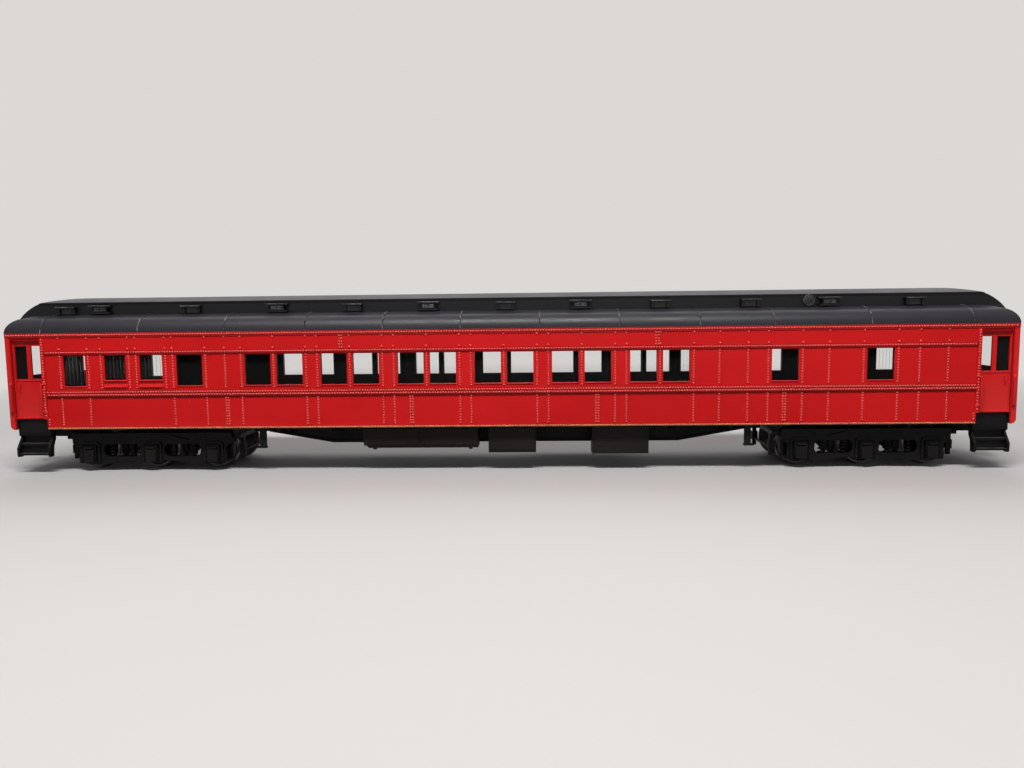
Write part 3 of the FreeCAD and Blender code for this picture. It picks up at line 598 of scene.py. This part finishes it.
# Roof. Charcoal plastic with a satin sheen, a little chalky where dust has settled; raised seams cross the
# lower deck where the real car's roof sheets lap.
roof_black = Finish("roof_charcoal", IOR=1.46, Specular_IOR_Level=0.22)
chalk = roof_black.fade(roof_black.noise(30, 5, 0.6), 0.35, 0.75)
roof_colour = roof_black.mix(chalk, (0.0125, 0.0116, 0.0150, 1), (0.020, 0.0185, 0.0235, 1))
WALL_FOOT_Z = 45.7
WALL_TOP_Z = 49.0
# Painted shade: the clerestory wall between the deck and the crown is darkened, as if in the crown's shadow.
inward = roof_black.size_of(roof_black.axis("Y"))
level = roof_black.axis("Z")
below_crown = roof_black.fade(level, WALL_TOP_Z * MM, (WALL_TOP_Z + 0.5) * MM, 0.85, 0.0)
shaded = (inward < 11.7 * MM) * (level > WALL_FOOT_Z * MM) * below_crown
roof_colour = roof_black.mix(shaded, roof_colour, (0.0030, 0.0029, 0.0034, 1))
speck = roof_black.fade(roof_black.noise(1100, 2, 0.6), 0.72, 0.82, 0.0, 0.25)
roof_black.wire("Base Color", roof_black.mix(speck, roof_colour, (0.16, 0.15, 0.15, 1)))
roof_black.wire("Roughness", roof_black.fade(roof_black.noise(90, 4), 0.3, 0.7, 0.34, 0.50))
grain = roof_black.noise(1900, 2) * 0.7 + roof_black.noise(420, 3) * 0.5
roof_black.wire("Normal", roof_black.bump(grain, 0.06 * MM, 0.6))
for node in ("roof", "roof_ventilators", "exhaust_fans"):
    finish_node(node, roof_black.material)

SEAMS_X = (-131.4, -103.2, -78.4, -55.4, -33.3, -11.4, 10.8, 33.0, 55.3, 75.6, 102.1, 129.5)
SEAM_HALF_WIDTH = 0.16
SEAM_HEIGHT = 0.14


def roof_strip(x, half_width):
    """The upper skin of the lower deck between two cuts across the roof, thickened outwards."""
    strip = copy_of(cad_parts["roof"], "seam")
    strip.parent = None
    for key in list(strip.keys()):
        del strip[key]
    bpy.ops.object.select_all(action="DESELECT")
    strip.select_set(True)
    bpy.context.view_layer.objects.active = strip
    bpy.ops.object.mode_set(mode="EDIT")
    bpy.ops.mesh.select_all(action="SELECT")
    bpy.ops.mesh.remove_doubles(threshold=0.001 * MM)
    bpy.ops.mesh.select_all(action="SELECT")
    bpy.ops.mesh.bisect(plane_co=((x - half_width) * MM, 0, 0), plane_no=(1, 0, 0), clear_inner=True)
    bpy.ops.mesh.select_all(action="SELECT")
    bpy.ops.mesh.bisect(plane_co=((x + half_width) * MM, 0, 0), plane_no=(1, 0, 0), clear_outer=True)
    bpy.ops.object.mode_set(mode="OBJECT")
    for polygon in strip.data.polygons:
        outside = abs(polygon.center.y) > 9.95 * MM
        upward = polygon.normal.z > 0.02 and polygon.center.z < 45.95 * MM
        polygon.select = not (outside and upward)
    bpy.ops.object.mode_set(mode="EDIT")
    bpy.ops.mesh.select_mode(type="FACE")
    bpy.ops.mesh.delete(type="FACE")
    bpy.ops.object.mode_set(mode="OBJECT")
    lift = strip.modifiers.new("lift", "SOLIDIFY")
    lift.thickness = SEAM_HEIGHT * MM
    lift.offset = 1.0
    return settle(strip)


seam_grey = Finish("seam_rubbed_plastic", IOR=1.46)
rubbed = seam_grey.fade(seam_grey.noise(260, 4, 0.6), 0.45, 0.62)
seam_grey.wire("Base Color", seam_grey.mix(rubbed, (0.014, 0.013, 0.016, 1), (0.10, 0.095, 0.10, 1)))
seam_grey.wire("Roughness", seam_grey.fade(seam_grey.noise(500, 2), 0.3, 0.7, 0.35, 0.55))
seams = [roof_strip(x, SEAM_HALF_WIDTH) for x in SEAMS_X]
dress(join(seams, "roof_seams"), seam_grey.material)

# Ventilator trim. Every lid has a thin rubbed rim, the wide ventilators have two pairs of louvre slats
# between dark gaps, and each fan has a ring, a hub and six blades. The gaps, and the disc behind each fan,
# are thin near-black sheets of painted shadow.
vent_dark = Finish("ventilator_shadow", IOR=1.45)
# Painted shadow: a near-black colour with a little random tone, for the sheets in the vent gaps.
shadow_tone = vent_dark.fade(vent_dark.noise(500), 0.3, 0.7)
vent_dark.wire("Base Color", vent_dark.mix(shadow_tone, (0.0030, 0.0030, 0.0034, 1), (0.0050, 0.0050, 0.0054, 1)))
WIDE_VENTS = (-117.1, -65.0, -21.1, 22.5, 92.6)
HOODED_VENTS = (-127.3, -90.3, -43.1, 1.1, 45.2, 70.6, 116.4)
WIDE_GAP = 1.75
WIDE_GAP_Z = (46.6, 47.85)
WIDE_FACE = (11.15, 11.28)
LOUVRE_ROWS_Z = (46.75, 47.3)
LOUVRE_FACE = (11.2, 11.55)
LOUVRE_LENGTH = 1.45
LOUVRE_HEIGHT = 0.28
WIDE_LID = 3.25
WIDE_LID_Z = (48.25, 48.45)
HOOD_GAP = 1.6
HOOD_GAP_Z = (46.1, 47.6)
HOOD_FACE = (10.75, 10.9)
HOOD_LID = 2.85
HOOD_LID_Z = (47.92, 48.12)
LID_RIM = (11.7, 11.9)
FAN_X = 87.0
FAN_Z = 47.6
FAN_BLADES = 6
gaps = []
slats = []


def on_wall(turn, x, out, z, edge=0.04):
    """A block on the clerestory wall: near side for turn 1, turned about the car's middle for turn -1."""
    along = sorted(turn * value for value in x)
    across = sorted(-turn * value for value in out)
    return rounded_block(along, across, z, edge)


for turn in (1, -1):
    for x in WIDE_VENTS:
        gaps.append(on_wall(turn, (x - WIDE_GAP, x + WIDE_GAP), WIDE_FACE, WIDE_GAP_Z, 0.02))
        for low in LOUVRE_ROWS_Z:
            rise = (low, low + LOUVRE_HEIGHT)
            for start in (x - 1.6, x + 0.15):
                slats.append(on_wall(turn, (start, start + LOUVRE_LENGTH), LOUVRE_FACE, rise))
        slats.append(on_wall(turn, (x - WIDE_LID, x + WIDE_LID), LID_RIM, WIDE_LID_Z))
    for x in HOODED_VENTS:
        gaps.append(on_wall(turn, (x - HOOD_GAP, x + HOOD_GAP), HOOD_FACE, HOOD_GAP_Z, 0.02))
        slats.append(on_wall(turn, (x - HOOD_LID, x + HOOD_LID), LID_RIM, HOOD_LID_Z))
    fan_x = turn * FAN_X
    bpy.ops.object.select_all(action="DESELECT")
    bpy.ops.mesh.primitive_torus_add(major_radius=1.5 * MM, minor_radius=0.14 * MM, major_segments=32,
                                     minor_segments=8, location=(fan_x * MM, -turn * 10.6 * MM, FAN_Z * MM),
                                     rotation=(math.pi / 2, 0, 0))
    slats.append(settle(bpy.context.active_object))
    bpy.ops.object.shade_smooth()
    gaps.append(bar((fan_x, -turn * 10.55, FAN_Z), (fan_x, -turn * 10.68, FAN_Z), 1.4, 32))
    slats.append(bar((fan_x, -turn * 10.6, FAN_Z), (fan_x, -turn * 10.95, FAN_Z), 0.3, 12))
    for number in range(FAN_BLADES):
        blade = rounded_block((0.2, 1.2), (-0.06, 0.06), (-0.13, 0.13), 0.03, "blade")
        blade.rotation_euler = (0, number * 2 * math.pi / FAN_BLADES + 0.3, 0)
        blade.location = (fan_x * MM, -turn * 10.72 * MM, FAN_Z * MM)
        slats.append(settle(blade))
dress(join(gaps, "ventilator_gaps"), vent_dark.material)
dress(join(slats, "ventilator_slats"), seam_grey.material)

# Underframe. One black casting for the floor, fishbelly sill and hangers, with boxes that carry a trace of
# brown; the surface is a matt, slightly pebbled plastic.


def black_plastic(name, base, warm, roughness):
    plastic = Finish(name, IOR=1.45, Specular_IOR_Level=0.12)
    tone = plastic.fade(plastic.noise(45, 4), 0.35, 0.7)
    plastic.wire("Base Color", plastic.mix(tone, base, warm))
    haze = plastic.noise(150, 3)
    plastic.wire("Roughness", plastic.fade(haze, 0.3, 0.7, roughness - 0.08, roughness + 0.1))
    pebbles = plastic.noise(1600, 3) * 0.8 + plastic.noise(300, 2) * 0.5
    plastic.wire("Normal", plastic.bump(pebbles, 0.06 * MM, 0.6))
    return plastic.material


underframe_black = black_plastic("underframe_plastic", (0.0040, 0.0039, 0.0041, 1),
                                 (0.0070, 0.0064, 0.0060, 1), 0.5)
box_black = black_plastic("equipment_plastic", (0.0075, 0.0058, 0.0050, 1),
                          (0.0130, 0.0098, 0.0082, 1), 0.45)
for node in ("floor", "centre_sill", "truck_bolsters", "underfloor_hangers", "cross_bearers", "vestibule_steps",
             "end_diaphragms", "air_reservoirs", "brake_cylinder"):
    finish_node(node, underframe_black)
for node in ("battery_locker", "regulator_box", "ice_bunker", "far_battery_locker"):
    finish_node(node, box_black)
bare_steel = Finish("bare_steel", Metallic=0.9)
dulled = bare_steel.fade(bare_steel.noise(200, 4), 0.35, 0.7)
bare_steel.wire("Base Color", bare_steel.mix(dulled, (0.36, 0.355, 0.35, 1), (0.24, 0.235, 0.23, 1)))
bare_steel.wire("Roughness", bare_steel.fade(bare_steel.noise(600, 3), 0.3, 0.7, 0.28, 0.45))
for node in ("ballast_weight", "truck_screws"):
    finish_node(node, bare_steel.material)

BUNKER_X = (26.0, 41.0)
BATTERY_LIDS_X = ((-40.0, -24.2), (-23.2, -7.4))
FAR_LOCKER_X = (7.6, 39.4)
REGULATOR_X = (-3.6, 9.0)
LID_Y = (-15.25, -14.9)
HINGES_X = (-36.0, -28.0, -19.5, -11.5, 0.0, 5.4)
HINGE_Y = -15.3
HINGE_Z = 12.1
box_trim = []
for x in (27.3, 39.7):
    for z in (6.0, 7.2):
        bolt = domed_head("bolt", 0.28 * MM, 0.2 * MM, (0, -1, 0), 6)
        bolt.location = (x * MM, -15.0 * MM, z * MM)
        box_trim.append(settle(bolt))
for lid_x in BATTERY_LIDS_X:
    box_trim.append(rounded_block(lid_x, LID_Y, (7.4, 12.4), 0.1))
box_trim.append(rounded_block(REGULATOR_X, (-15.2, LID_Y[1]), (5.9, 12.5), 0.1))
box_trim.append(rounded_block(BUNKER_X, (-15.1, LID_Y[1]), (8.6, 8.85), 0.08))
box_trim.append(rounded_block(FAR_LOCKER_X, (14.9, 15.2), (7.3, 12.3), 0.1))
for x in HINGES_X:
    box_trim.append(bar((x, HINGE_Y, HINGE_Z), (x + 1.2, HINGE_Y, HINGE_Z), 0.16))
dress(join(box_trim, "equipment_box_trim"), box_black)

pipes = [
    bar((-128.0, 6.4, 12.3), (128.0, 6.4, 12.3), 0.35),
    bar((-78.0, -6.6, 12.4), (78.0, -6.6, 12.4), 0.22),
    bar((-8.0, 12.2, 10.4), (6.5, 12.2, 10.4), 0.2),
]
dress(join(pipes, "underfloor_pipes"), underframe_black)

# Step treads. Each tread is moulded with fine raised bars along it for grip, scuffed pale in patches.
step_worn = Finish("step_edge_plastic", IOR=1.45)
scuff = step_worn.fade(step_worn.noise(350, 4, 0.6), 0.40, 0.65)
step_worn.wire("Base Color", step_worn.mix(scuff, (0.0070, 0.0066, 0.0064, 1), (0.040, 0.038, 0.035, 1)))
step_worn.wire("Roughness", step_worn.fade(step_worn.noise(500, 2), 0.3, 0.7, 0.35, 0.55))
TREAD_X = (131.5, 139.8)
LOWER_TREAD = (17.4, 6.0)
UPPER_TREAD = (16.5, 8.8)
BARS_PER_TREAD = 4
BAR_PITCH = 0.4
tread_bars = []
for end in (-1, 1):
    for side in (-1, 1):
        for outer, top in (LOWER_TREAD, UPPER_TREAD):
            for number in range(BARS_PER_TREAD):
                depth = outer - number * BAR_PITCH
                spans = at_corner(end, side, TREAD_X, (depth - 0.2, depth), (top - 0.03, top + 0.07))
                tread_bars.append(rounded_block(*spans, 0.03))
dress(join(tread_bars, "step_tread_bars"), step_worn.material)

# Passage diaphragm folds. Each frame is backed by a short bellows of pleated fabric on the real car,
# moulded here as ridges round a black frame.
FOLDS_OUT = (0.25, 0.65, 1.05)
FOLD_Y = (9.5, 9.75)
FOLD_Z = (13.7, 38.9)
FOLD_TOP_Z = (38.9, 39.15)
folds = []
for end in (-1, 1):
    for depth in FOLDS_OUT:
        x = (END_FACE + depth - 0.13, END_FACE + depth + 0.13)
        for side in (-1, 1):
            folds.append(rounded_block(*at_corner(end, side, x, FOLD_Y, FOLD_Z), 0.06))
        folds.append(rounded_block(*at_corner(end, 1, x, (-FOLD_Y[0], FOLD_Y[0]), FOLD_TOP_Z), 0.06))
dress(join(folds, "diaphragm_folds"), underframe_black)

# Trucks. Black acetal castings with coil springs over the equalizers, bolt heads along the top flange and a
# brake rod.
truck_black = black_plastic("truck_acetal", (0.0042, 0.0040, 0.0040, 1), (0.0078, 0.0072, 0.0066, 1), 0.42)
for end in ("a", "b"):
    finish_node("truck_" + end + "_frame", truck_black)
    finish_node("truck_" + end + "_journal_boxes", truck_black)


def coil_spring(x, y, low, high, radius, wire):
    """An upright coil spring, swept by a screw modifier from a small ring of wire."""
    turns = 4
    bpy.ops.object.select_all(action="DESELECT")
    bpy.ops.mesh.primitive_circle_add(vertices=6, radius=wire * MM, fill_type="NOTHING",
                                      location=(radius * MM, 0, 0), rotation=(math.pi / 2, 0, 0))
    spring = bpy.context.active_object
    bpy.ops.object.transform_apply(location=True, rotation=True, scale=True)
    sweep = spring.modifiers.new("turns", "SCREW")
    sweep.axis = "Z"
    sweep.angle = turns * 2 * math.pi
    sweep.screw_offset = (high - low) * MM
    sweep.steps = turns * 10
    sweep.render_steps = turns * 10
    sweep.use_normal_calculate = True
    spring.location = (x * MM, y * MM, low * MM)
    settle(spring)
    bpy.ops.object.mode_set(mode="EDIT")
    bpy.ops.mesh.select_mode(type="VERT")
    bpy.ops.mesh.select_all(action="DESELECT")
    bpy.ops.mesh.select_non_manifold()
    bpy.ops.mesh.fill_holes(sides=0)
    bpy.ops.mesh.select_all(action="SELECT")
    bpy.ops.mesh.normals_make_consistent(inside=False)
    bpy.ops.object.mode_set(mode="OBJECT")
    return spring


TRUCK_X = 103.0
AXLE_PITCH = 18.35
FRAME_FACE = 13.2
SPRINGS_X = (-12.2, -6.2, 6.2, 12.2)
SPRING_Y = 12.2
SPRING_Z = (4.05, 7.85)
FLANGE_BOLTS_X = (-22.4, -14.5, -4.5, 4.5, 14.5, 22.4)
FLANGE_BOLT_Z = 9.8
LID_BOLT_X = 2.6
BRAKE_ROD_HALF = 23.0
BRAKE_ROD_Y = 10.9
BRAKE_ROD_Z = 3.4
for end, name in ((-1, "a"), (1, "b")):
    middle = end * TRUCK_X
    detail = []
    for side in (-1, 1):
        for offset in SPRINGS_X:
            detail.append(coil_spring(middle + offset, side * SPRING_Y, *SPRING_Z, 0.75, 0.22))
        bolt = domed_head("bolt", 0.3 * MM, 0.22 * MM, (0, side, 0), 6)
        for offset in FLANGE_BOLTS_X:
            detail.append(row(bolt, (middle + offset, side * FRAME_FACE, FLANGE_BOLT_Z), (0, 0, 1), 1))
        for axle in (-1, 0, 1):
            for shift in (-LID_BOLT_X, LID_BOLT_X):
                place = (middle + axle * AXLE_PITCH + shift, side * (FRAME_FACE + 0.4), 3.2)
                detail.append(row(bolt, place, (0, 0, 1.4), 2))
        bpy.data.objects.remove(bolt)
        rod_y = side * BRAKE_ROD_Y
        detail.append(bar((middle - BRAKE_ROD_HALF, rod_y, BRAKE_ROD_Z),
                          (middle + BRAKE_ROD_HALF, rod_y, BRAKE_ROD_Z), 0.25))
    dress(join(detail, "truck_" + name + "_fittings"), truck_black, "truck_" + name)

# Wheels and axles. Turned metal wheels, blackened on the disc and bright on the tread and flange where they
# run on the rail.
wheel_metal = Finish("wheel_steel", Metallic=0.95)
turned = wheel_metal.fade(wheel_metal.noise(350, 4), 0.35, 0.7)
centre_line = wheel_metal.size_of(wheel_metal.axis("Y"))
blackened = (centre_line > 9.2 * MM) + (centre_line < 7.19 * MM)
steel = wheel_metal.mix(turned, (0.16, 0.152, 0.148, 1), (0.10, 0.094, 0.090, 1))
wheel_metal.wire("Base Color", wheel_metal.mix(blackened, steel, (0.010, 0.0098, 0.0098, 1)))
wheel_metal.wire("Metallic", 0.95 - blackened * 0.9)
wheel_metal.wire("Roughness", wheel_metal.fade(wheel_metal.noise(900, 2), 0.3, 0.7, 0.3, 0.48))
for end in ("a", "b"):
    for number in ("1", "2", "3"):
        finish_node("wheels_" + end + number, wheel_metal.material)
        finish_node("axle_" + end + number, wheel_metal.material)

# Couplers. Blackened cast metal, with the knuckle a shade brighter where it rubs.
coupler_metal = Finish("coupler_blackened", Metallic=0.7)
rub = coupler_metal.fade(coupler_metal.noise(300, 4), 0.45, 0.75)
coupler_metal.wire("Base Color", coupler_metal.mix(rub, (0.035, 0.032, 0.030, 1), (0.10, 0.088, 0.078, 1)))
coupler_metal.wire("Roughness", coupler_metal.fade(coupler_metal.noise(500, 3), 0.3, 0.7, 0.38, 0.6))
for end in ("a", "b"):
    finish_node("coupler_" + end, coupler_metal.material)
    finish_node("coupler_" + end + "_knuckle", coupler_metal.material)

# The table, a sheet of pale matt paper, under one soft lamp above the near side, with a weak fill; the room
# is dim in front of the car and pale behind it.
PALE = (0.71, 0.69, 0.67, 1)
GLOW_FROM = 0.20
GLOW_TO = 0.42
paper = Finish("seamless_paper", Roughness=0.85)
seen_directly = paper.node("ShaderNodeLightPath", {}, {}, "Is Camera Ray")
seen_mirrored = paper.node("ShaderNodeLightPath", {}, {}, "Is Glossy Ray")
seen_through = paper.node("ShaderNodeLightPath", {}, {}, "Is Transmission Ray")
seen_ray = seen_directly + seen_mirrored + seen_through
fibre = paper.mix(paper.fade(paper.noise(3), 0.3, 0.7), (0.325, 0.315, 0.305, 1), (0.345, 0.335, 0.325, 1))
paper.wire("Base Color", paper.mix(seen_ray, (0.10, 0.095, 0.09, 1), fibre))
far = paper.node("ShaderNodeVectorMath", {"operation": "LENGTH"}, {0: paper.place}, "Value")
glow = paper.node("ShaderNodeEmission", {}, {"Color": PALE})
paper.over(1 - paper.fade(far, GLOW_FROM, GLOW_TO) * seen_ray, glow)
bpy.ops.object.select_all(action="DESELECT")
bpy.ops.mesh.primitive_plane_add(size=4, location=(0, 0, 0))
table = bpy.context.active_object
table.name = "table_top"
table.data.materials.append(paper.material)

world = bpy.data.worlds.new("studio")
bpy.context.scene.world = world
world.use_nodes = True
room = world.node_tree
seen = room.nodes.new("ShaderNodeBackground")
seen.inputs["Color"].default_value = PALE
lit = room.nodes["Background"]
lit.inputs["Color"].default_value = (0.96, 0.96, 1.0, 1)
facing = room.nodes.new("ShaderNodeTexCoord")
parts = room.nodes.new("ShaderNodeSeparateXYZ")
room.links.new(facing.outputs["Generated"], parts.inputs[0])
strength = room.nodes.new("ShaderNodeMapRange")
for socket, value in (("From Min", -0.3), ("From Max", 0.9), ("To Min", 0.08), ("To Max", 0.75)):
    strength.inputs[socket].default_value = value
room.links.new(parts.outputs["Y"], strength.inputs["Value"])
room.links.new(strength.outputs[0], lit.inputs["Strength"])
eye = room.nodes.new("ShaderNodeLightPath")
choose = room.nodes.new("ShaderNodeMixShader")
looks = eye.outputs["Is Camera Ray"]
for ray in ("Is Glossy Ray", "Is Transmission Ray"):
    either = room.nodes.new("ShaderNodeMath")
    either.operation = "MAXIMUM"
    room.links.new(looks, either.inputs[0])
    room.links.new(eye.outputs[ray], either.inputs[1])
    looks = either.outputs[0]
room.links.new(looks, choose.inputs[0])
room.links.new(lit.outputs[0], choose.inputs[1])
room.links.new(seen.outputs[0], choose.inputs[2])
room.links.new(choose.outputs[0], room.nodes["World Output"].inputs["Surface"])


def soft_lamp(name, place, aim, size, power):
    lamp = bpy.data.lights.new(name, "AREA")
    lamp.shape = "RECTANGLE"
    lamp.size = size[0]
    lamp.size_y = size[1]
    lamp.energy = power
    holder = bpy.data.objects.new(name, lamp)
    bpy.context.scene.collection.objects.link(holder)
    holder.location = place
    holder.rotation_euler = (Vector(aim) - Vector(place)).to_track_quat("-Z", "Y").to_euler()


soft_lamp("key_lamp", (-0.01, -0.26, 0.44), (0, 0, 0.03), (0.34, 0.07), 4.05)
soft_lamp("front_fill", (0.1, -1.1, 0.30), (0, 0, 0.03), (0.9, 0.5), 1.3)
soft_lamp("back_lamp", (0.0, 0.55, 0.75), (0, 0.1, 0.0), (1.2, 0.5), 4.0)

# Camera, at the eye point and with the lens that the model's own edges ask for, a little to the right of
# middle.
HEADING = 1.987
LOOKING_DOWN = 5.633
LEAN = -0.675
camera = bpy.data.cameras.new("camera")
camera.lens = 27.243
camera.sensor_width = 36
camera.clip_start = 0.01
viewer = bpy.data.objects.new("camera", camera)
bpy.context.scene.collection.objects.link(viewer)
turn = Matrix.Rotation(math.radians(HEADING), 3, "Z")
tilt = Matrix.Rotation(math.radians(90 - LOOKING_DOWN), 3, "X")
roll = Matrix.Rotation(math.radians(LEAN), 3, "Z")
viewer.rotation_euler = (turn @ tilt @ roll).to_euler()
viewer.location = (10.41 * MM, -233.79 * MM, 46.464 * MM)
bpy.context.scene.camera = viewer
bpy.context.scene.view_settings.view_transform = "Standard"
